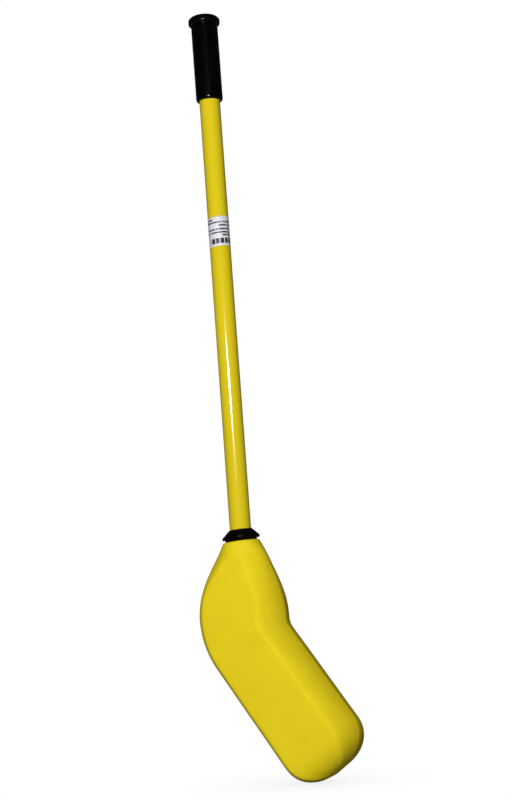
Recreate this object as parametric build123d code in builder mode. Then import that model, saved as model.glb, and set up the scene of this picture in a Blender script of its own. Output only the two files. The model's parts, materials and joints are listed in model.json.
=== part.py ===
from build123d import *
import os
from math import cos, radians, sin, tan

# Padded play stick, held upright: +Z runs up the shaft to the grip, the blade's toe points to +X,
# and the blade's two flat faces look along -Y and +Y. The origin is on the shaft's axis, in the
# middle of the plain part of the hand grip.

# ---- Driving dimensions, millimetres ----
TUBE_R = 12.7
TUBE_WALL = 2.0

GRIP_R = 16.4
GRIP_BODY = 93.0
GRIP_LIP = 3.4
GROOVE_H = 0.8
GROOVE_DEPTH = 0.7
FLANGE_R = 19.4
FLANGE_H = 10.4
FLANGE_EDGE = 4.5
FLANGE_FOOT = 2.6
GRIP_END_WALL = 3.5
GRIP_FIT = 0.1

LABEL_TOP = -197.5
LABEL_H = 36.5
LABEL_T = 0.25
LABEL_SKEW = 4.0
LABEL_HIGH_SIDE = 30.0

NECK_Z = -590.0
NECK_TILT = 3.5
NECK_R = 20.3
COLLAR_H = 14.0
COLLAR_R = 22.6
COLLAR_LIP = 3.2
LIP_ROUND = 1.5
COLLAR_BAND_R = 18.4
COLLAR_BAND_H = 2.6
COLLAR_WALL = 1.0
SPIGOT_R = 14.6
SPIGOT_L = 16.0
COLLAR_FIT = 0.1

BEND = radians(35.4)
KNEE_DEPTH = 114.0
BLADE_HALF = 51.5
HEEL_HALF = 58.6
CROOK_HALF = 52.1
HEEL_R = 110.0
CROOK_R = 16.0
FLARE_R = 21.6
CROOK_FLARE = 88.0
HEEL_FLARE = 94.0
FACE_HALF = 34.2
FACE_START = 13.0
FACE_FULL = 80.0
HALF_THICK = 37.0
NECK_THICK = 21.2
THICK_DEPTH = 98.0
DRAFT = 6.4
ROUND_ACROSS = 0.25
ROUND_THROUGH = 0.563
CIRCLE_SHARE = 0.5523
TOE_START = 147.5
TOE_CAP = 38.5
TOE_POWER = 2.4
TILT_DEPTH = 45.0
LEAST_FLAT = 0.5
NECK_SHARES = (0, 0.05, 0.15, 0.3, 0.5, 0.75)
BEND_SHARES = (0, 0.33, 0.67, 1)
BLADE_SHARES = (0.2, 0.5, 0.8, 1)
TOE_ANGLES = (20, 38, 54, 68, 79, 87)
SKIN = 2.5

TUBE_IN_HEAD = 138.0
PLUG_RIM = 2.5
PLUG_L = 16.0
PLUG_FIT = 0.1
PIN_R = 4.0
PIN_HALF = 34.0
PIN_DEPTH = 94.0
PIN_CHAMFER = 1.0

# ---- Heights that follow from them ----
body_top = GRIP_BODY / 2
mouth_z = -GRIP_BODY / 2 - GRIP_LIP
flange_z = body_top + GROOVE_H
grip_top = flange_z + FLANGE_H
tube_top = grip_top - GRIP_END_WALL - PLUG_RIM
tube_foot = NECK_Z - TUBE_IN_HEAD
pin_z = NECK_Z - PIN_DEPTH

# ---- Plan of the head, in the XZ plane ----
along = Vector(sin(BEND), 0, -cos(BEND))
across = Vector(cos(BEND), 0, sin(BEND))
knee = Vector(0, 0, NECK_Z - KNEE_DEPTH)


def corner(side_x, half):
    """Where a side of the upper head, at x = side_x, meets the blade's edge."""
    reach = (side_x - half * cos(BEND)) / sin(BEND)
    return knee + across * half + along * reach


def bend_arc(vertex, radius, share):
    """A point on the arc that rounds a corner, share of the way round it."""
    start = vertex + Vector(0, 0, radius * tan(BEND / 2))
    centre = start + Vector(radius, 0, 0)
    turn = BEND * share
    return centre - Vector(cos(turn), 0, sin(turn)) * radius


crook = corner(CROOK_HALF, BLADE_HALF)
heel = corner(-HEEL_HALF, -BLADE_HALF)


def swell(depth, full_depth):
    """How far the upper head has grown at a depth below the neck: 0 at the neck, 1 at full_depth."""
    return sin(radians(90) * min(depth / full_depth, 1))


def head_section(crook_side, heel_side, half_thick, face_half, form, inset):
    """One section: two flats, and two sides that meet at the parting line. A form of 0 is round."""
    width = (crook_side - heel_side).length / 2 - inset
    thick = half_thick - inset
    flat = max(face_half, LEAST_FLAT)
    shoulder = flat + (width - flat) * (CIRCLE_SHARE + (ROUND_ACROSS - CIRCLE_SHARE) * form)
    side = thick * (CIRCLE_SHARE + (ROUND_THROUGH - CIRCLE_SHARE) * form)
    draft = side * tan(radians(DRAFT)) * form
    across_section = crook_side - heel_side
    frame = Plane(
        (crook_side + heel_side) * 0.5,
        x_dir=across_section,
        z_dir=across_section.cross(Vector(0, 1, 0)),
    )
    with BuildSketch(frame) as section:
        with BuildLine():
            Line((-flat, -thick), (flat, -thick))
            Bezier((flat, -thick), (shoulder, -thick), (width - draft, -side), (width, 0))
            Bezier((width, 0), (width - draft, side), (shoulder, thick), (flat, thick))
            Line((flat, thick), (-flat, thick))
            Bezier((-flat, thick), (-shoulder, thick), (draft - width, side), (-width, 0))
            Bezier((-width, 0), (draft - width, -side), (-shoulder, -thick), (-flat, -thick))
        make_face()
    return section.sketch


def neck_sections(inset):
    """Sections of the upper head, from the tilted neck down to the start of the bend."""
    crook_depth = NECK_Z - bend_arc(crook, CROOK_R, 0).Z
    heel_depth = NECK_Z - bend_arc(heel, HEEL_R, 0).Z
    for share in NECK_SHARES:
        depth = (crook_depth + heel_depth) / 2 * share
        crook_half = FLARE_R + (CROOK_HALF - FLARE_R) * swell(depth, CROOK_FLARE)
        heel_half = FLARE_R + (HEEL_HALF - FLARE_R) * swell(depth, HEEL_FLARE)
        thick = NECK_THICK + (HALF_THICK - NECK_THICK) * swell(depth, THICK_DEPTH)
        if depth == 0:
            crook_half = heel_half = thick = NECK_R
        drop = NECK_Z - inset * (1 - share)
        slope = tan(radians(NECK_TILT)) * max(1 - depth / TILT_DEPTH, 0)
        crook_side = Vector(crook_half, 0, drop - crook_depth * share + slope * crook_half)
        heel_side = Vector(-heel_half, 0, drop - heel_depth * share - slope * heel_half)
        face = FACE_HALF * swell(max(depth - FACE_START, 0), FACE_FULL - FACE_START)
        form = swell(depth, FACE_FULL)
        yield head_section(crook_side, heel_side, thick, face, form, inset)


def blade_sections(inset):
    """Sections of the bend, the blade and the rounded toe."""
    for share in BEND_SHARES:
        crook_side = bend_arc(crook, CROOK_R, share)
        heel_side = bend_arc(heel, HEEL_R, share)
        yield head_section(crook_side, heel_side, HALF_THICK, FACE_HALF, 1, inset)
    toe = knee + along * TOE_START
    for share in BLADE_SHARES:
        crook_side = bend_arc(crook, CROOK_R, 1) * (1 - share) + (toe + across * BLADE_HALF) * share
        heel_side = bend_arc(heel, HEEL_R, 1) * (1 - share) + (toe - across * BLADE_HALF) * share
        yield head_section(crook_side, heel_side, HALF_THICK, FACE_HALF, 1, inset)
    for angle in TOE_ANGLES:
        reach = sin(radians(angle))
        shrink = (1 - reach**TOE_POWER) ** (1 / TOE_POWER)
        middle = toe + along * ((TOE_CAP - inset) * reach)
        edge = across * ((BLADE_HALF - inset) * shrink + inset)
        thick = (HALF_THICK - inset) * shrink + inset
        yield head_section(middle + edge, middle - edge, thick, FACE_HALF * shrink, 1, inset)


def head_solid(inset):
    """The head as one closed body, its whole surface moved inwards by inset."""
    with BuildPart() as body:
        loft(sections=[*neck_sections(inset), *blade_sections(inset)])
    return body.part


os.makedirs("parts", exist_ok=True)

# ---- Shaft: one round tube from inside the grip to deep inside the head ----
with BuildPart() as shaft_tube:
    with BuildSketch(Plane.XY.offset(tube_foot)):
        Circle(TUBE_R)
        Circle(TUBE_R - TUBE_WALL, mode=Mode.SUBTRACT)
    extrude(amount=tube_top - tube_foot)
    with BuildSketch(Plane.YZ):
        with Locations((0, pin_z)):
            Circle(PIN_R)
    extrude(amount=TUBE_R, both=True, mode=Mode.SUBTRACT)
shaft_tube.part.label = "shaft_tube"
export_step(shaft_tube.part, "parts/shaft_tube.step")

# ---- Plugs that close the tube's two ends: a rim over the end and a spigot inside ----
upper_end = Plane.XY.offset(tube_top)
lower_end = Plane((0, 0, tube_foot), z_dir=(0, 0, -1))
for name, end in (("butt_plug", upper_end), ("tip_plug", lower_end)):
    with BuildPart() as end_plug:
        with BuildSketch(end):
            Circle(TUBE_R)
        extrude(amount=PLUG_RIM)
        with BuildSketch(end):
            Circle(TUBE_R - TUBE_WALL - PLUG_FIT)
        extrude(amount=-PLUG_L)
    end_plug.part.label = name
    export_step(end_plug.part, f"parts/{name}.step")

# ---- Cross pin: keys the tube to the head's filling ----
with BuildPart() as cross_pin:
    with BuildSketch(Plane.YZ):
        with Locations((0, pin_z)):
            Circle(PIN_R)
    extrude(amount=PIN_HALF, both=True)
    chamfer(cross_pin.edges().filter_by(GeomType.CIRCLE), PIN_CHAMFER)
cross_pin.part.label = "cross_pin"
export_step(cross_pin.part, "parts/cross_pin.step")

# ---- Hand grip: a sleeve with a closed, flanged end ----
with BuildPart() as grip:
    with BuildSketch(Plane.XZ):
        with BuildLine():
            bore = TUBE_R + GRIP_FIT
            Polyline(
                (bore, mouth_z),
                (GRIP_R, mouth_z),
                (GRIP_R, body_top),
                (GRIP_R - GROOVE_DEPTH, body_top),
                (GRIP_R - GROOVE_DEPTH, flange_z),
                (FLANGE_R, flange_z),
                (FLANGE_R, grip_top),
                (0, grip_top),
                (0, grip_top - GRIP_END_WALL),
                (bore, grip_top - GRIP_END_WALL),
                close=True,
            )
        make_face()
    revolve(axis=Axis.Z)
    rims = grip.edges().filter_by(GeomType.CIRCLE).group_by(Axis.Z)
    fillet(rims[0].sort_by(SortBy.RADIUS)[-1], GRIP_LIP)
    widest = grip.edges().filter_by(GeomType.CIRCLE).group_by(SortBy.RADIUS)[-1].sort_by(Axis.Z)
    fillet(widest[-1], FLANGE_EDGE)
    widest = grip.edges().filter_by(GeomType.CIRCLE).group_by(SortBy.RADIUS)[-1].sort_by(Axis.Z)
    fillet(widest[0], FLANGE_FOOT)
grip.part.label = "grip"
export_step(grip.part, "parts/grip.step")

# ---- Label wrapped round the shaft, a little askew ----
label_middle = Location((0, 0, LABEL_TOP - LABEL_H / 2), (0, 0, LABEL_HIGH_SIDE))
label_band = label_middle * Location((0, 0, 0), (0, -LABEL_SKEW, 0))
with BuildPart() as wrap_label:
    with BuildSketch(Plane.XY.offset(LABEL_TOP - LABEL_H / 2)):
        Circle(TUBE_R + LABEL_T)
        Circle(TUBE_R, mode=Mode.SUBTRACT)
    extrude(amount=LABEL_H, both=True)
    with Locations(label_band):
        Box(4 * TUBE_R, 4 * TUBE_R, LABEL_H, mode=Mode.INTERSECT)
wrap_label.part.label = "wrap_label"
export_step(wrap_label.part, "parts/wrap_label.step")

# ---- Neck collar: a cone with a skirt, tilted with the neck, and a spigot straight down the tube ----
with BuildPart() as neck_collar:
    with BuildSketch(Plane.XZ):
        with BuildLine():
            skirt_z = NECK_Z + COLLAR_BAND_H
            Polyline(
                (0, NECK_Z + COLLAR_H),
                (TUBE_R + COLLAR_FIT + COLLAR_WALL, NECK_Z + COLLAR_H),
                (COLLAR_R, skirt_z + COLLAR_LIP),
                (COLLAR_R, skirt_z),
                (COLLAR_BAND_R, skirt_z),
                (COLLAR_BAND_R, NECK_Z),
                (0, NECK_Z),
                close=True,
            )
        make_face()
    revolve(axis=Axis.Z)
    skirt_edges = neck_collar.edges().filter_by(GeomType.CIRCLE).group_by(SortBy.RADIUS)[-1]
    fillet(skirt_edges, LIP_ROUND)
tilt = Location((0, 0, NECK_Z), (0, -NECK_TILT, 0)) * Location((0, 0, -NECK_Z))
with BuildPart() as tilted_collar:
    add(neck_collar.part.moved(tilt))
    with BuildSketch(Plane.XY.offset(NECK_Z)):
        Circle(SPIGOT_R)
    extrude(amount=-SPIGOT_L)
    with BuildSketch(Plane.XY.offset(NECK_Z)):
        Circle(SPIGOT_R)
    extrude(amount=COLLAR_BAND_H / 2)
    with BuildSketch(Plane.XY.offset(NECK_Z)):
        Circle(TUBE_R + COLLAR_FIT)
    extrude(amount=2 * COLLAR_H, both=True, mode=Mode.SUBTRACT)
tilted_collar.part.label = "neck_collar"
export_step(tilted_collar.part, "parts/neck_collar.step")

# ---- Head: a moulded skin over a foam filling ----
with BuildPart() as head_skin:
    add(head_solid(0))
    add(head_solid(SKIN), mode=Mode.SUBTRACT)
    with BuildSketch(Plane.XY.offset(NECK_Z)):
        Circle(SPIGOT_R + COLLAR_FIT)
    extrude(amount=SKIN * 2, both=True, mode=Mode.SUBTRACT)
head_skin.part.label = "head_skin"
export_step(head_skin.part, "parts/head_skin.step")

with BuildPart() as head_core:
    add(head_solid(SKIN))
    with BuildSketch(Plane.XY.offset(NECK_Z)):
        Circle(SPIGOT_R + COLLAR_FIT)
    extrude(amount=-SPIGOT_L, mode=Mode.SUBTRACT)
    with BuildSketch(Plane.XY.offset(NECK_Z)):
        Circle(TUBE_R)
    extrude(amount=-TUBE_IN_HEAD - PLUG_RIM, mode=Mode.SUBTRACT)
    with BuildSketch(Plane.YZ):
        with Locations((0, pin_z)):
            Circle(PIN_R)
    extrude(amount=PIN_HALF, both=True, mode=Mode.SUBTRACT)
head_core.part.label = "head_core"
export_step(head_core.part, "parts/head_core.step")
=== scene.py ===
import json
from math import cos, pi, radians, sin, tan

import bmesh
import bpy
import numpy as np
from mathutils import Matrix, Vector, noise


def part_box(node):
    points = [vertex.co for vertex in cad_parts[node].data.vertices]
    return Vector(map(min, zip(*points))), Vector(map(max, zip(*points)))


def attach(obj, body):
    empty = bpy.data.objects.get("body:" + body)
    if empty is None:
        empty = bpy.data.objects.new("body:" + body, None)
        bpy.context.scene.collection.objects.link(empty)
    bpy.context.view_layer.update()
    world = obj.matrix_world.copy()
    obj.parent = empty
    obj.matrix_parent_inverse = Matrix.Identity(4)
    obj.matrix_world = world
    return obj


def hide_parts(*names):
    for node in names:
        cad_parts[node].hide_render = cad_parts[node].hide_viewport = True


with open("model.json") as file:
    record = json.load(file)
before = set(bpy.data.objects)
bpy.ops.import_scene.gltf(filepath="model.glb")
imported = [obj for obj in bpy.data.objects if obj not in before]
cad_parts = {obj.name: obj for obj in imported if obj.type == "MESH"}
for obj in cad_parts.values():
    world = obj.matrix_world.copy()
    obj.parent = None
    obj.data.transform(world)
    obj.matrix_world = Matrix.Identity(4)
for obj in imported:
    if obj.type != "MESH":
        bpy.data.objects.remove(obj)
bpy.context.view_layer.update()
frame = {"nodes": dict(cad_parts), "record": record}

MM = 0.001

# ---- Places read from the frame, metres ----
SPIGOT_LENGTH = 16 * MM

grip_low, grip_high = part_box("grip")
tube_low, tube_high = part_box("shaft_tube")
label_low, label_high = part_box("wrap_label")
collar_low, collar_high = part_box("neck_collar")
head_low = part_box("head_skin")[0]
grip_mount = frame["record"]["mounts"][0]["dims"]
grip_r = grip_mount["r_mm"] * MM
grip_body_top = grip_mount["length_mm"] / 2 * MM
grip_end_r = grip_high.x
tube_r = tube_high.x
label_r = label_high.x
collar_r = collar_high.x
neck_z = collar_low.z + SPIGOT_LENGTH
floor_z = head_low.z

# ---- Plan of the head, the same design as the CAD, metres ----
BEND = radians(35.4)
KNEE_DEPTH = 114 * MM
BLADE_HALF = 51.5 * MM
HEEL_HALF = 58.6 * MM
CROOK_HALF = 52.1 * MM
HEEL_R = 110 * MM
CROOK_R = 16 * MM
NECK_TILT = radians(3.5)
TILT_DEPTH = 45 * MM
NECK_R = 20.2 * MM
FLARE_R = 21.5 * MM
CROOK_FLARE = 88 * MM
HEEL_FLARE = 94 * MM
FACE_HALF = 34.2 * MM
FACE_START = 13 * MM
FACE_FULL = 80 * MM
LEAST_FLAT = 0.5 * MM
HALF_THICK = 37 * MM
NECK_THICK = 21.1 * MM
THICK_DEPTH = 98 * MM
DRAFT = radians(6.4)
ROUND_ACROSS = 0.25
ROUND_THROUGH = 0.563
CIRCLE_SHARE = 0.5523
TOE_START = 147.5 * MM
TOE_CAP = 38.5 * MM
TOE_POWER = 2.4

# ---- Touches that the CAD's head lacks, metres ----
CROOK_TOE_POWER = 2.25
CROOK_SHOULDER = 0.9 * MM
SHOULDER_DEPTH = 30 * MM
RIM_DEPTH = 1.6 * MM
NECK_EASE = 10 * MM
SOCKET_SHARE = 0.8
SOCKET_DEPTH = 8 * MM
INSET = 0.15 * MM
SEAM_RISE = 0.12 * MM
SEAM_WIDTH = 0.5 * MM
RIPPLE = 0.12 * MM
RIPPLE_SCALE = 22
RIPPLE_START = 20 * MM

# ---- How finely the head's rings lie, and the points round each ----
UPPER_RINGS = 80
UPPER_CROWDING = 1.6
BEND_RINGS = 26
BLADE_RINGS = 36
TOE_RINGS = 34
LAST_TOE_ANGLE = 88
SIDE_SHARES = (*np.linspace(0, 0.9, 19), 0.93, 0.955, 0.972, 0.984, 0.993, 1)
FACE_SHARES = np.linspace(-1, 1, 13)[1:-1]

along = np.array([sin(BEND), -cos(BEND)])
across = np.array([cos(BEND), sin(BEND)])
knee = np.array([0, neck_z - KNEE_DEPTH])


# ---- Mesh helpers ----
def new_piece(name, bm):
    """Turns a bmesh into a smooth-shaded object in the scene."""
    bmesh.ops.recalc_face_normals(bm, faces=bm.faces)
    mesh = bpy.data.meshes.new(name)
    bm.to_mesh(mesh)
    bm.free()
    mesh.shade_smooth()
    piece = bpy.data.objects.new(name, mesh)
    bpy.context.scene.collection.objects.link(piece)
    return piece


def rounded(corners, steps):
    """A closed outline from corners (r, z, radius), each corner rounded by an arc of that radius."""
    outline = []
    count = len(corners)
    for i, (r, z, radius) in enumerate(corners):
        here = Vector((r, z))
        if radius == 0:
            outline.append(here)
            continue
        to_last = (Vector(corners[i - 1][:2]) - here).normalized()
        to_next = (Vector(corners[(i + 1) % count][:2]) - here).normalized()
        half = to_last.angle(to_next) / 2
        reach = radius / tan(half)
        centre = here + (to_last + to_next).normalized() * (radius / sin(half))
        first = here + to_last * reach - centre
        last = here + to_next * reach - centre
        sweep = first.angle_signed(last)
        for k in range(steps + 1):
            outline.append(centre + Matrix.Rotation(-sweep * k / steps, 2) @ first)
    return outline


def subdivided(outline, longest):
    """The same closed outline, with its long stretches cut into pieces of about the length longest."""
    points = []
    for i, start in enumerate(outline):
        end = outline[(i + 1) % len(outline)]
        pieces = max(1, int((end - start).length / longest))
        points += [start.lerp(end, k / pieces) for k in range(pieces)]
    return points


def lathe(name, outline, segments):
    """Turns a closed outline of (r, z) points round the z axis; points on the axis become poles."""
    on_axis = 1e-7
    turns = [2 * pi * k / segments for k in range(segments)]
    bm = bmesh.new()
    rings = []
    for r, z in outline:
        if r < on_axis:
            rings.append([bm.verts.new((0, 0, z))])
        else:
            rings.append([bm.verts.new((r * cos(t), r * sin(t), z)) for t in turns])
    for a, b in zip(rings, rings[1:] + rings[:1]):
        for k in range(segments):
            quad = [a[k % len(a)], a[(k + 1) % len(a)], b[(k + 1) % len(b)], b[k % len(b)]]
            corners = list(dict.fromkeys(quad))
            if len(corners) > 2:
                bm.faces.new(corners)
    return new_piece(name, bm)


# ---- Head ----
def corner(side_x, half):
    """Where a side of the upper head, at x = side_x, meets the blade's edge."""
    reach = (side_x - half * cos(BEND)) / sin(BEND)
    return knee + across * half + along * reach


def bend_arc(vertex, radius, share):
    """A point on the arc that rounds a corner, share of the way round it."""
    turn = BEND * share
    centre = vertex + np.array([radius, radius * tan(BEND / 2)])
    return centre - radius * np.array([cos(turn), sin(turn)])


def swell(depth, full_depth):
    """How far the upper head has grown at a depth below the neck: 0 at the neck, 1 at full_depth."""
    return sin(pi / 2 * min(depth / full_depth, 1))


def toe_shrink(angle, power):
    """The share of its width that the toe still has at an angle towards its tip."""
    return (1 - sin(angle) ** power) ** (1 / power)


def upper_stations(crook, heel):
    """The head's sections from the tilted neck down to the start of the bend."""
    crook_depth = neck_z - bend_arc(crook, CROOK_R, 0)[1]
    heel_depth = neck_z - bend_arc(heel, HEEL_R, 0)[1]
    for share in np.linspace(0, 1, UPPER_RINGS, endpoint=False) ** UPPER_CROWDING:
        depth = (crook_depth + heel_depth) / 2 * share
        rim = (FLARE_R - NECK_R) * (1 - min(depth / RIM_DEPTH, 1)) ** 2
        crook_half = FLARE_R + (CROOK_HALF - FLARE_R) * swell(depth, CROOK_FLARE) - rim
        crook_half += CROOK_SHOULDER * sin(pi * min(depth / SHOULDER_DEPTH, 1))
        heel_half = FLARE_R + (HEEL_HALF - FLARE_R) * swell(depth, HEEL_FLARE) - rim
        thick = NECK_THICK + (HALF_THICK - NECK_THICK) * swell(depth, THICK_DEPTH)
        thick -= rim + (NECK_THICK - FLARE_R) * max(1 - depth / NECK_EASE, 0)
        slope = tan(NECK_TILT) * max(1 - depth / TILT_DEPTH, 0)
        crook_side = np.array([crook_half, neck_z - crook_depth * share + slope * crook_half])
        heel_side = np.array([-heel_half, neck_z - heel_depth * share - slope * heel_half])
        face = FACE_HALF * swell(max(depth - FACE_START, 0), FACE_FULL - FACE_START)
        yield crook_side, heel_side, thick, face, swell(depth, FACE_FULL)


def blade_stations(crook, heel):
    """The head's sections round the bend, down the blade and round the toe."""
    for share in np.linspace(0, 1, BEND_RINGS, endpoint=False):
        yield bend_arc(crook, CROOK_R, share), bend_arc(heel, HEEL_R, share), HALF_THICK, FACE_HALF, 1
    toe = knee + along * TOE_START
    crook_blade, heel_blade = toe + across * BLADE_HALF, toe - across * BLADE_HALF
    for share in np.linspace(0, 1, BLADE_RINGS, endpoint=False):
        crook_side = bend_arc(crook, CROOK_R, 1) * (1 - share) + crook_blade * share
        heel_side = bend_arc(heel, HEEL_R, 1) * (1 - share) + heel_blade * share
        yield crook_side, heel_side, HALF_THICK, FACE_HALF, 1
    for angle in np.radians(np.linspace(0, LAST_TOE_ANGLE, TOE_RINGS)):
        shrink = toe_shrink(angle, TOE_POWER)
        middle = knee + along * (TOE_START + TOE_CAP * sin(angle))
        crook_side = middle + across * BLADE_HALF * toe_shrink(angle, CROOK_TOE_POWER)
        heel_side = middle - across * BLADE_HALF * shrink
        yield crook_side, heel_side, HALF_THICK * shrink, FACE_HALF * shrink, 1


def head_stations():
    """Crook side, heel side, half thickness, face half and form of each section, neck to toe."""
    crook, heel = corner(CROOK_HALF, BLADE_HALF), corner(-HEEL_HALF, -BLADE_HALF)
    yield from upper_stations(crook, heel)
    yield from blade_stations(crook, heel)


def section_loop(half_width, half_thick, face_half, form):
    """Points (across, through) round one section: two flats, and two sides that meet at the seam."""
    flat = max(face_half, min(LEAST_FLAT, half_width / 2))
    side = half_thick * (CIRCLE_SHARE + (ROUND_THROUGH - CIRCLE_SHARE) * form)
    shoulder = flat + (half_width - flat) * (CIRCLE_SHARE + (ROUND_ACROSS - CIRCLE_SHARE) * form)
    handles = np.array(
        [
            (flat, -half_thick),
            (shoulder, -half_thick),
            (half_width - side * tan(DRAFT) * form, -side),
            (half_width, 0),
        ]
    )
    t = np.array(SIDE_SHARES)[:, None]
    weights = np.concatenate([(1 - t) ** 3, 3 * t * (1 - t) ** 2, 3 * t * t * (1 - t), t**3], 1)
    front_right = weights @ handles
    front_right[:, 0] += SEAM_RISE * form * np.exp(-((front_right[:, 1] / SEAM_WIDTH) ** 2))
    back_right = (front_right * (1, -1))[-2::-1]
    back_flat = np.stack([-flat * FACE_SHARES, np.full(len(FACE_SHARES), half_thick)], 1)
    back_left = front_right * (-1, -1)
    front_left = (front_right * (-1, 1))[-2::-1]
    front_flat = np.stack([flat * FACE_SHARES, np.full(len(FACE_SHARES), -half_thick)], 1)
    return np.concatenate([front_right, back_right, back_flat, back_left, front_left, front_flat])


def make_head():
    """The padded head: lofted rings from the neck to the toe, slightly uneven as moulded foam is."""
    bm = bmesh.new()
    rings = []
    for crook_side, heel_side, thick, face, form in head_stations():
        reach = crook_side - heel_side
        half_width = np.linalg.norm(reach) / 2
        middle = (crook_side + heel_side) / 2
        side = reach / (2 * half_width)
        ease = min(max((neck_z - middle[1]) / RIPPLE_START, 0), 1)
        loop = section_loop(half_width - INSET * ease, thick - INSET * ease, face, form)
        ring = []
        for a, y in loop:
            point = Vector((middle[0] + side[0] * a, y, middle[1] + side[1] * a))
            ripple = noise.noise(point * RIPPLE_SCALE) * RIPPLE * ease
            outward = Vector((side[0] * a, y, side[1] * a)).normalized()
            ring.append(bm.verts.new(point + outward * ripple))
        rings.append(ring)
    socket = []
    for vert in rings[0]:
        x, y = vert.co.x * SOCKET_SHARE, vert.co.y * SOCKET_SHARE
        socket.append(bm.verts.new((x, y, neck_z + x * tan(NECK_TILT))))
    socket_foot = [bm.verts.new((v.co.x, v.co.y, v.co.z - SOCKET_DEPTH)) for v in socket]
    rings = [socket_foot, socket, *rings]
    for a, b in zip(rings, rings[1:]):
        for k in range(len(a)):
            n = (k + 1) % len(a)
            bm.faces.new((a[k], a[n], b[n], b[k]))
    tip = knee + along * (TOE_START + TOE_CAP - INSET)
    pole = bm.verts.new((tip[0], 0, tip[1]))
    last = rings[-1]
    for k in range(len(last)):
        bm.faces.new((last[k], last[(k + 1) % len(last)], pole))
    bm.faces.new(socket_foot)
    return new_piece("padded_head", bm)


# ---- Turned pieces ----
BORE_GAP = 0.05 * MM


def make_shaft():
    """The tube, with its wall, between the two plugs."""
    wall = 2 * MM
    edge_round = 0.4 * MM
    corners = [
        (tube_r, tube_low.z, edge_round),
        (tube_r, tube_high.z, edge_round),
        (tube_r - wall, tube_high.z, edge_round),
        (tube_r - wall, tube_low.z, edge_round),
    ]
    return lathe("shaft", subdivided(rounded(corners, steps=3), longest=40 * MM), segments=128)


def make_grip():
    """A dip-moulded sleeve: rounded mouth, a shallow groove under the flange, and a domed end."""
    low, top = grip_low.z, grip_high.z
    bore = tube_r + BORE_GAP
    bore_round, mouth_round = 0.6 * MM, 3 * MM
    groove_cut, groove_rise, groove_round = 0.8 * MM, 0.8 * MM, 0.6 * MM
    slope_start, slope_end = grip_body_top - 3 * MM, grip_body_top - 1 * MM
    slope_round, slope_foot_round = 6 * MM, 1.5 * MM
    flange_foot_round, flange_edge_round, flange_edge_drop = 2.6 * MM, 3 * MM, 3.4 * MM
    bevel_cut, bevel_drop, bevel_round = 3.2 * MM, 0.5 * MM, 3.6 * MM
    dome_share, dome_round = 0.4, 16 * MM
    end_wall = 3.4 * MM
    groove_r = grip_r - groove_cut
    flange_z = grip_body_top + groove_rise
    corners = [
        (bore, low, bore_round),
        (grip_r, low, mouth_round),
        (grip_r, slope_start, slope_round),
        (groove_r, slope_end, slope_foot_round),
        (groove_r, flange_z, groove_round),
        (grip_end_r, flange_z, flange_foot_round),
        (grip_end_r, top - flange_edge_drop, flange_edge_round),
        (grip_end_r - bevel_cut, top - bevel_drop, bevel_round),
        (grip_end_r * dome_share, top, dome_round),
        (0, top, 0),
        (0, top - end_wall, 0),
        (bore, top - end_wall, 0),
    ]
    return lathe("hand_grip", subdivided(rounded(corners, steps=6), longest=6 * MM), segments=112)


def make_collar():
    """A cone with a rolled skirt lip and a short band, tilted with the neck; its spigot is straight."""
    bore = tube_r + BORE_GAP
    top_z = neck_z + 14 * MM
    top_wall, bore_round, top_round = 0.9 * MM, 0.3 * MM, 0.5 * MM
    skirt_z = neck_z + 2.6 * MM
    lip_height, lip_round, lip_foot_round = 3.1 * MM, 1.1 * MM, 1.2 * MM
    roll_cut, roll_rise, roll_round = 1.2 * MM, 0.8 * MM, 1 * MM
    band_r, band_foot_round = 18.4 * MM, 0.2 * MM
    band_ease = 0.8 * MM
    spigot_r, spigot_round = 14.6 * MM, 0.4 * MM
    corners = [
        (bore, top_z, bore_round),
        (bore + top_wall, top_z, top_round),
        (collar_r - roll_cut, skirt_z + lip_height + roll_rise, roll_round),
        (collar_r, skirt_z + lip_height, lip_round),
        (collar_r, skirt_z, lip_foot_round),
        (band_r + band_ease, skirt_z + band_ease / 2, band_ease),
        (band_r, neck_z, band_foot_round),
        (spigot_r, neck_z, 0),
        (spigot_r, collar_low.z, spigot_round),
        (bore, collar_low.z, 0),
    ]
    collar = lathe("collar", subdivided(rounded(corners, steps=5), longest=4 * MM), segments=112)
    tilted_above = neck_z - 1 * MM
    for vert in collar.data.vertices:
        if vert.co.z > tilted_above:
            vert.co.z += tan(NECK_TILT) * vert.co.x
    return collar


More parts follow.
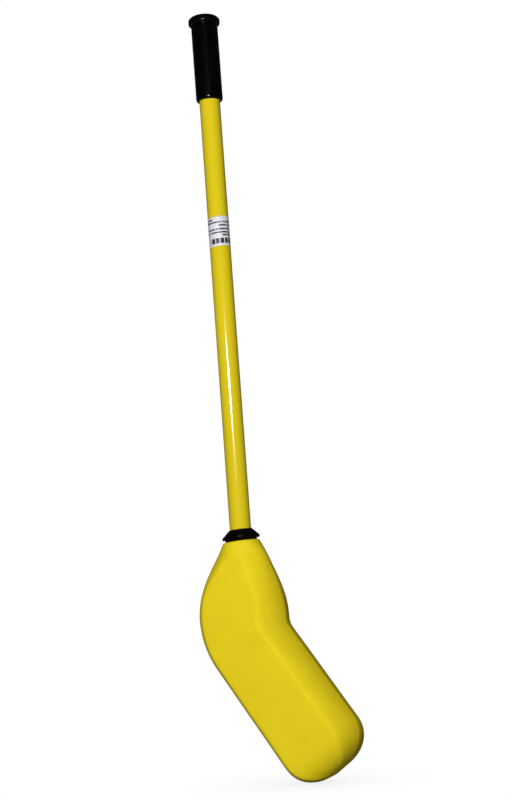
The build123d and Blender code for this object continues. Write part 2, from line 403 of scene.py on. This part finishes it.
# ---- Label ----
def make_label():
    """A thin film wrapped once round the shaft a little askew, its end lapped over its start."""
    bm = bmesh.new()
    uv = bm.loops.layers.uv.new("wrap")
    rows = 24
    turns = 180
    lap = radians(14)
    wrap = 2 * pi + lap
    lap_climb = 40
    seam = radians(100)
    skew = radians(4)
    high_side = radians(30)
    askew_rise = label_r * tan(skew)
    foot = label_low.z + askew_rise
    height = label_high.z - label_low.z - 2 * askew_rise
    glue = 0.02 * MM
    film_share = 0.45
    thick = (label_r - tube_r) * film_share
    sheets = []
    for face_r in (tube_r + glue, tube_r + glue + thick):
        grid = []
        for j in range(rows + 1):
            z = foot + height * j / rows
            line = []
            for k in range(turns + 1):
                share = k / turns
                turn = seam + wrap * share
                r = face_r + thick * min(max((share - 1 + lap / wrap) * lap_climb, 0), 1)
                askew = face_r * cos(turn - high_side) * tan(skew)
                line.append(bm.verts.new((r * cos(turn), r * sin(turn), z + askew)))
            grid.append(line)
        sheets.append(grid)

    def face(corners, shares):
        made = bm.faces.new(corners)
        for loop, share in zip(made.loops, shares):
            loop[uv].uv = share

    for inner, grid in enumerate(sheets):
        for j in range(rows):
            for k in range(turns):
                square = [(j, k), (j, k + 1), (j + 1, k + 1), (j + 1, k)]
                if inner == 0:
                    square.reverse()
                face([grid[a][b] for a, b in square], [(b / turns, a / rows) for a, b in square])
    inside, outside = sheets
    border = [(0, k) for k in range(turns)] + [(j, turns) for j in range(rows)]
    border += [(rows, k) for k in range(turns, 0, -1)] + [(j, 0) for j in range(rows, 0, -1)]
    for (a, b), (c, d) in zip(border, border[1:] + border[:1]):
        face(
            [outside[a][b], inside[a][b], inside[c][d], outside[c][d]],
            [(b / turns, a / rows)] * 2 + [(d / turns, c / rows)] * 2,
        )
    return new_piece("shaft_label", bm)


# ---- Materials ----
# Noise textures mostly give values between these two.
NOISE_LOW = 0.3
NOISE_HIGH = 0.7

# Socket numbers of the colour mix node.
MIX_SHARE = 0
MIX_FIRST = 6
MIX_SECOND = 7
MIX_RESULT = 2


class Shader:
    """A material's node tree, with short calls for the nodes that the looks share."""

    def __init__(self, name):
        self.material = bpy.data.materials.new(name)
        self.material.use_nodes = True
        self.tree = self.material.node_tree
        self.surface = self.tree.nodes["Principled BSDF"]
        self.place = self.tree.nodes.new("ShaderNodeTexCoord").outputs["Object"]

    def feed(self, socket, value):
        """Links the socket to the value if that is another node's output, and sets it otherwise."""
        if isinstance(value, bpy.types.NodeSocket):
            self.tree.links.new(value, socket)
        else:
            socket.default_value = value

    def node(self, kind, settings=None, **inputs):
        """A new node with its settings and its inputs, whose names have _ for a space."""
        made = self.tree.nodes.new(kind)
        for key, value in (settings or {}).items():
            setattr(made, key, value)
        for key, value in inputs.items():
            self.feed(made.inputs[key.replace("_", " ")], value)
        return made

    def noise(self, scale, detail=3.0, stretch=(1, 1, 1)):
        """A noise texture in the object's own space."""
        place = self.node("ShaderNodeMapping", Vector=self.place, Scale=stretch).outputs[0]
        return self.node("ShaderNodeTexNoise", Vector=place, Scale=scale, Detail=detail).outputs["Fac"]

    def ramp(self, value, start, end):
        """The value turned into a colour, between two stops (value, colour)."""
        made = self.node("ShaderNodeValToRGB", Fac=value)
        for element, (at, colour) in zip(made.color_ramp.elements, (start, end)):
            element.position = at
            element.color = (*colour, 1)
        return made.outputs["Color"]

    def shades(self, value, dark, light):
        """Noise turned into shades between two colours."""
        return self.ramp(value, (NOISE_LOW, dark), (NOISE_HIGH, light))

    def patches(self, value, start, full):
        """Patches where the value passes start: 0 outside them, 1 where it passes full."""
        return self.ramp(value, (start, (0, 0, 0)), (full, (1, 1, 1)))

    def span(self, value, low, high):
        """Noise mapped to the span from low to high."""
        made = self.node("ShaderNodeMapRange", Value=value)
        made.inputs["From Min"].default_value = NOISE_LOW
        made.inputs["From Max"].default_value = NOISE_HIGH
        made.inputs["To Min"].default_value = low
        made.inputs["To Max"].default_value = high
        return made.outputs["Result"]

    def math(self, operation, a, b=0.0):
        """One operation of arithmetic on two values."""
        made = self.node("ShaderNodeMath", {"operation": operation})
        for socket, value in zip(made.inputs, (a, b)):
            self.feed(socket, value)
        return made.outputs[0]

    def mix(self, share, first, second):
        """The first colour, a link, with a share of the second, a plain colour, mixed in."""
        made = self.node("ShaderNodeMix", {"data_type": "RGBA"})
        self.feed(made.inputs[MIX_SHARE], share)
        self.feed(made.inputs[MIX_FIRST], first)
        self.feed(made.inputs[MIX_SECOND], (*second, 1))
        return made.outputs[MIX_RESULT]

    def bump(self, height, distance, strength, normal=None):
        """A bump from a height, on top of another bump where one is given."""
        made = self.node("ShaderNodeBump", Height=height, Distance=distance, Strength=strength)
        if normal is not None:
            self.tree.links.new(normal, made.inputs["Normal"])
        return made.outputs["Normal"]

    def finish(self, colour, roughness, normal, **sockets):
        """Links the surface, sets its uniform values straight on its sockets, and gives the material."""
        for key, value in (("Base Color", colour), ("Roughness", roughness), ("Normal", normal)):
            self.tree.links.new(value, self.surface.inputs[key])
        for key, value in sockets.items():
            self.surface.inputs[key.replace("_", " ")].default_value = value
        return self.material


def head_material():
    """Skinned foam: satin yellow, faintly mottled, with a fine pebbled skin and a few soft scuffs."""
    s = Shader("yellow_foam_skin")
    mottle = s.shades(s.noise(28, 4), (0.86, 0.665, 0.012), (0.90, 0.715, 0.016))
    scuffs = s.patches(s.noise(55, 8, (1, 1, 0.35)), 0.66, 0.74)
    colour = s.mix(s.math("MULTIPLY", scuffs, 0.18), mottle, (0.70, 0.52, 0.03))
    roughness = s.span(s.noise(90, 5), 0.58, 0.72)
    pebble = s.bump(s.noise(1500, 2), 0.05 * MM, 0.35)
    wave = s.bump(s.noise(160, 3), 0.12 * MM, 0.35, pebble)
    return s.finish(colour, roughness, wave, Specular_IOR_Level=0.06)


def shaft_material():
    """Extruded gloss plastic: fine drawn lines along the tube and slight gloss changes."""
    s = Shader("yellow_gloss_tube")
    lines = s.noise(420, 3, (1, 1, 0.012))
    tone = s.shades(s.noise(20, 3, (1, 1, 0.25)), (0.77, 0.60, 0.010), (0.83, 0.655, 0.016))
    scuffs = s.patches(s.noise(130, 9, (1, 1, 0.12)), 0.67, 0.73)
    colour = s.mix(s.math("MULTIPLY", scuffs, 0.25), tone, (0.62, 0.47, 0.05))
    roughness = s.span(s.noise(60, 6, (1, 1, 0.2)), 0.08, 0.12)
    normal = s.bump(lines, 0.02 * MM, 0.25)
    return s.finish(colour, roughness, normal, IOR=1.5)


def rubber_material(name, smoothest, roughest, grain, gloss):
    """Black vinyl or rubber with a fine matt grain and dusty patches."""
    s = Shader(name)
    colour = s.ramp(
        s.noise(60, 5),
        (NOISE_LOW, (0.0004, 0.0004, 0.0006)),
        (0.72, (0.0014, 0.0013, 0.0018)),
    )
    roughness = s.span(s.noise(120, 6), smoothest, roughest)
    skin = s.bump(s.noise(grain, 2), 0.05 * MM, 0.3)
    wave = s.bump(s.noise(140, 2), 0.2 * MM, 0.25, skin)
    return s.finish(colour, roughness, wave, Specular_IOR_Level=gloss)


# Each row of print: its height up the label and its half height, how many cells go round, the share
# of them that are empty, the gap before each, and where the row starts and ends.
PRINT_ROWS = (
    (0.900, 0.026, 150, 0.08, 0.0, 0.04, 0.44),
    (0.800, 0.026, 190, 0.16, 0.0, 0.04, 0.93),
    (0.690, 0.026, 180, 0.10, 0.0, 0.53, 0.93),
    (0.565, 0.026, 170, 0.18, 0.0, 0.04, 0.93),
    (0.455, 0.026, 185, 0.14, 0.0, 0.04, 0.93),
    (0.360, 0.026, 180, 0.10, 0.0, 0.58, 0.93),
    (0.170, 0.088, 15, 0.0, 0.2, 0.39, 0.93),
)


def label_material():
    """White film with generic dark print: dashes in rows, and one bold row, with no lettering."""
    s = Shader("label_film")
    wrap = s.node("ShaderNodeUVMap", {"uv_map": "wrap"}).outputs[0]
    split = s.node("ShaderNodeSeparateXYZ", Vector=wrap)
    u, v = split.outputs["X"], split.outputs["Y"]

    def within(value, low, high):
        return s.math("MULTIPLY", s.math("GREATER_THAN", value, low), s.math("LESS_THAN", value, high))

    def dashes(count, row, empty, gap):
        turn = s.math("MULTIPLY", u, count)
        cell = s.node("ShaderNodeCombineXYZ", X=s.math("FLOOR", turn), Y=row)
        random = s.node("ShaderNodeTexWhiteNoise", {"noise_dimensions": "2D"}, Vector=cell.outputs[0])
        filled = s.math("GREATER_THAN", random.outputs["Value"], empty)
        return s.math("MULTIPLY", filled, s.math("GREATER_THAN", s.math("FRACT", turn), gap))

    ink = 0.0
    for number, (height, half, count, empty, gap, start, end) in enumerate(PRINT_ROWS):
        line = within(v, height - half, height + half)
        bar = s.math("MULTIPLY", line, dashes(count, float(number), empty, gap))
        ink = s.math("MAXIMUM", s.math("MULTIPLY", bar, within(u, start, end)), ink)
    film = s.shades(s.noise(70, 4), (0.74, 0.745, 0.82), (0.82, 0.82, 0.88))
    worn_ink = s.math("MULTIPLY", ink, s.span(s.noise(900, 2), 0.9, 1.0))
    colour = s.mix(worn_ink, film, (0.005, 0.005, 0.015))
    roughness = s.span(s.noise(150, 4), 0.34, 0.46)
    normal = s.bump(s.noise(260, 3), 0.05 * MM, 0.25)
    return s.finish(colour, roughness, normal, IOR=1.46)


def foam_material():
    """Open cell foam for the filling inside the head."""
    s = Shader("head_foam")
    cells = s.node("ShaderNodeTexVoronoi", Vector=s.place, Scale=700.0).outputs["Distance"]
    colour = s.ramp(cells, (0.05, (0.52, 0.42, 0.16)), (0.6, (0.78, 0.68, 0.34)))
    roughness = s.span(s.noise(300, 3), 0.85, 0.95)
    return s.finish(colour, roughness, s.bump(cells, 0.3 * MM, 0.8))


def plug_material(name, dark, light):
    """Moulded plastic of the inner plugs and pin, with a fine grain."""
    s = Shader(name)
    colour = s.shades(s.noise(200, 4), dark, light)
    roughness = s.span(s.noise(300, 4), 0.45, 0.6)
    return s.finish(colour, roughness, s.bump(s.noise(1400, 2), 0.04 * MM, 0.4))


# ---- Build ----
def cover(piece, material):
    """Gives a piece its material in place of any that it has."""
    piece.data.materials.clear()
    piece.data.materials.append(material)


def dress(piece, material, node):
    """Gives a piece its material, and puts it in the place of its CAD node."""
    cover(piece, material)
    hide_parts(node)
    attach(piece, "root")


vinyl = {"smoothest": 0.15, "roughest": 0.22, "grain": 1300, "gloss": 0.25}
rubber = {"smoothest": 0.28, "roughest": 0.38, "grain": 1000, "gloss": 0.06}

head = make_head()
dress(head, head_material(), "head_skin")
dress(make_shaft(), shaft_material(), "shaft_tube")
dress(make_grip(), rubber_material("black_vinyl", **vinyl), "grip")
dress(make_collar(), rubber_material("black_rubber", **rubber), "neck_collar")
dress(make_label(), label_material(), "wrap_label")

plug_look = plug_material("black_plug_plastic", (0.012, 0.012, 0.013), (0.03, 0.03, 0.032))
pin_look = plug_material("natural_nylon", (0.62, 0.60, 0.53), (0.72, 0.70, 0.63))
cover(frame["nodes"]["head_core"], foam_material())
cover(frame["nodes"]["butt_plug"], plug_look)
cover(frame["nodes"]["tip_plug"], plug_look)
cover(frame["nodes"]["cross_pin"], pin_look)

# ---- Stage: what the camera sees is pale, and what lights the object is dim ----
PALE = 1.0
FILL = 0.03
FLOOR_HALF = 6
FLOOR_CELLS = 8
FLOOR_LIT = 0.3
# Darkest level, reach and samples of the painted contact shadow in the floor's glow.
PAINTED_SHADOW = PALE * 0.85
PAINTED_SHADOW_REACH = 0.12
PAINTED_SHADOW_SAMPLES = 16


def grey(level):
    """A plain grey, opaque."""
    return (level, level, level, 1)


def seen_or_lit(tree, seen, lit):
    """A shader that the camera sees as one thing while it lights the object as another."""
    mix = tree.nodes.new("ShaderNodeMixShader")
    path = tree.nodes.new("ShaderNodeLightPath")
    tree.links.new(path.outputs["Is Camera Ray"], mix.inputs[0])
    tree.links.new(lit, mix.inputs[1])
    tree.links.new(seen, mix.inputs[2])
    return mix.outputs[0]


def make_world():
    """A pale background round the stage, with only a little light of its own."""
    world = bpy.data.worlds.new("studio")
    world.use_nodes = True
    tree = world.node_tree
    tree.nodes.clear()
    shaders = []
    for level in (PALE, FILL):
        background = tree.nodes.new("ShaderNodeBackground")
        background.inputs["Color"].default_value = grey(level)
        shaders.append(background.outputs[0])
    out = tree.nodes.new("ShaderNodeOutputWorld")
    tree.links.new(seen_or_lit(tree, *shaders), out.inputs["Surface"])
    bpy.context.scene.world = world


def floor_material():
    """A plain pale glow with a painted contact shadow that darkens it near the object, and a grey floor
    for its light.
    """
    material = bpy.data.materials.new("studio_floor")
    material.use_nodes = True
    tree = material.node_tree
    tree.nodes.clear()
    # Painted contact shadow: ambient occlusion darkens the floor's glow near the object.
    shadow_occlusion = tree.nodes.new("ShaderNodeAmbientOcclusion")
    shadow_occlusion.samples = PAINTED_SHADOW_SAMPLES
    shadow_occlusion.inputs["Distance"].default_value = PAINTED_SHADOW_REACH
    painted_shadow_ramp = tree.nodes.new("ShaderNodeValToRGB")
    painted_shadow_ramp.color_ramp.elements[0].color = grey(PAINTED_SHADOW)
    painted_shadow_ramp.color_ramp.elements[1].color = grey(PALE)
    glow = tree.nodes.new("ShaderNodeEmission")
    matt = tree.nodes.new("ShaderNodeBsdfDiffuse")
    matt.inputs["Color"].default_value = grey(FLOOR_LIT)
    out = tree.nodes.new("ShaderNodeOutputMaterial")
    tree.links.new(shadow_occlusion.outputs["AO"], painted_shadow_ramp.inputs["Fac"])
    tree.links.new(painted_shadow_ramp.outputs["Color"], glow.inputs["Color"])
    tree.links.new(seen_or_lit(tree, glow.outputs[0], matt.outputs[0]), out.inputs["Surface"])
    return material


def make_floor():
    """The floor, at the height of the toe."""
    bm = bmesh.new()
    level = Matrix.Translation((0, 0, floor_z))
    bmesh.ops.create_grid(
        bm, x_segments=FLOOR_CELLS, y_segments=FLOOR_CELLS, size=FLOOR_HALF, matrix=level
    )
    floor = new_piece("studio_floor", bm)
    floor.data.materials.append(floor_material())


# ---- Camera and light: a little below the neck, turned towards the toe side ----
CAMERA_TURN = radians(29.6)
CAMERA_DISTANCE = 1.7847
CAMERA_BELOW_NECK = 0.058
CAMERA_YAW = radians(0.953)
CAMERA_PITCH = radians(7.187)
CAMERA_ROLL = radians(-4.242)
LENS = 67.5
SENSOR_WIDTH = 36
STREAK_Z = neck_z + 0.185
GRIP_STREAK_Z = 0.01
KEY_TURN = radians(22.5)
KEY_SIZE = (0.34, 0.10)
KEY_POWER = 28.8
GLINT_TURN = radians(34)
GLINT_SIZE = (0.03, 0.15)
GLINT_POWER = 0.05
BACK_SIZE = (0.4, 0.4)
BACK_POWER = 22


def stand(turn, z):
    """A place at the camera's distance from the shaft, turned from the head's flat face."""
    place = Vector((sin(turn), -cos(turn), 0)) * CAMERA_DISTANCE
    place.z = z
    return place


def make_camera():
    """The camera at the photograph's angle; it gives its place."""
    data = bpy.data.cameras.new("camera")
    data.lens = LENS
    data.sensor_width = SENSOR_WIDTH
    camera = bpy.data.objects.new("camera", data)
    bpy.context.scene.collection.objects.link(camera)
    place = stand(CAMERA_TURN, neck_z - CAMERA_BELOW_NECK)
    facing = Matrix.Rotation(CAMERA_TURN - CAMERA_YAW, 4, "Z")
    raised = Matrix.Rotation(pi / 2 + CAMERA_PITCH, 4, "X")
    rolled = Matrix.Rotation(CAMERA_ROLL, 4, "Z")
    camera.matrix_world = Matrix.Translation(place) @ (facing @ raised) @ rolled
    bpy.context.scene.camera = camera
    return place


def make_light(name, place, size, power):
    """A soft rectangular light at a place, turned to the middle of the shaft, unseen by the camera."""
    data = bpy.data.lights.new(name, "AREA")
    data.shape = "RECTANGLE"
    data.size, data.size_y = size
    data.energy = power
    light = bpy.data.objects.new(name, data)
    bpy.context.scene.collection.objects.link(light)
    aim = Vector((0, 0, STREAK_Z)) - place
    light.matrix_world = Matrix.Translation(place) @ aim.to_track_quat("-Z", "Y").to_matrix().to_4x4()
    light.visible_camera = False
    return light


def make_lights(camera_place):
    """A key and a faint glint above the camera, each reflected at its streak, and a light behind."""
    key_place = stand(KEY_TURN, 2 * STREAK_Z - camera_place.z)
    make_light("key", key_place, KEY_SIZE, KEY_POWER)
    glint_place = stand(GLINT_TURN, 2 * GRIP_STREAK_Z - camera_place.z)
    make_light("grip_glint", glint_place, GLINT_SIZE, GLINT_POWER)
    back_place = Vector((-camera_place.x, -camera_place.y, camera_place.z))
    back = make_light("back_key", back_place, BACK_SIZE, BACK_POWER)
    back.visible_glossy = False


make_world()
make_floor()
make_lights(make_camera())
bpy.context.scene.view_settings.view_transform = "Standard"
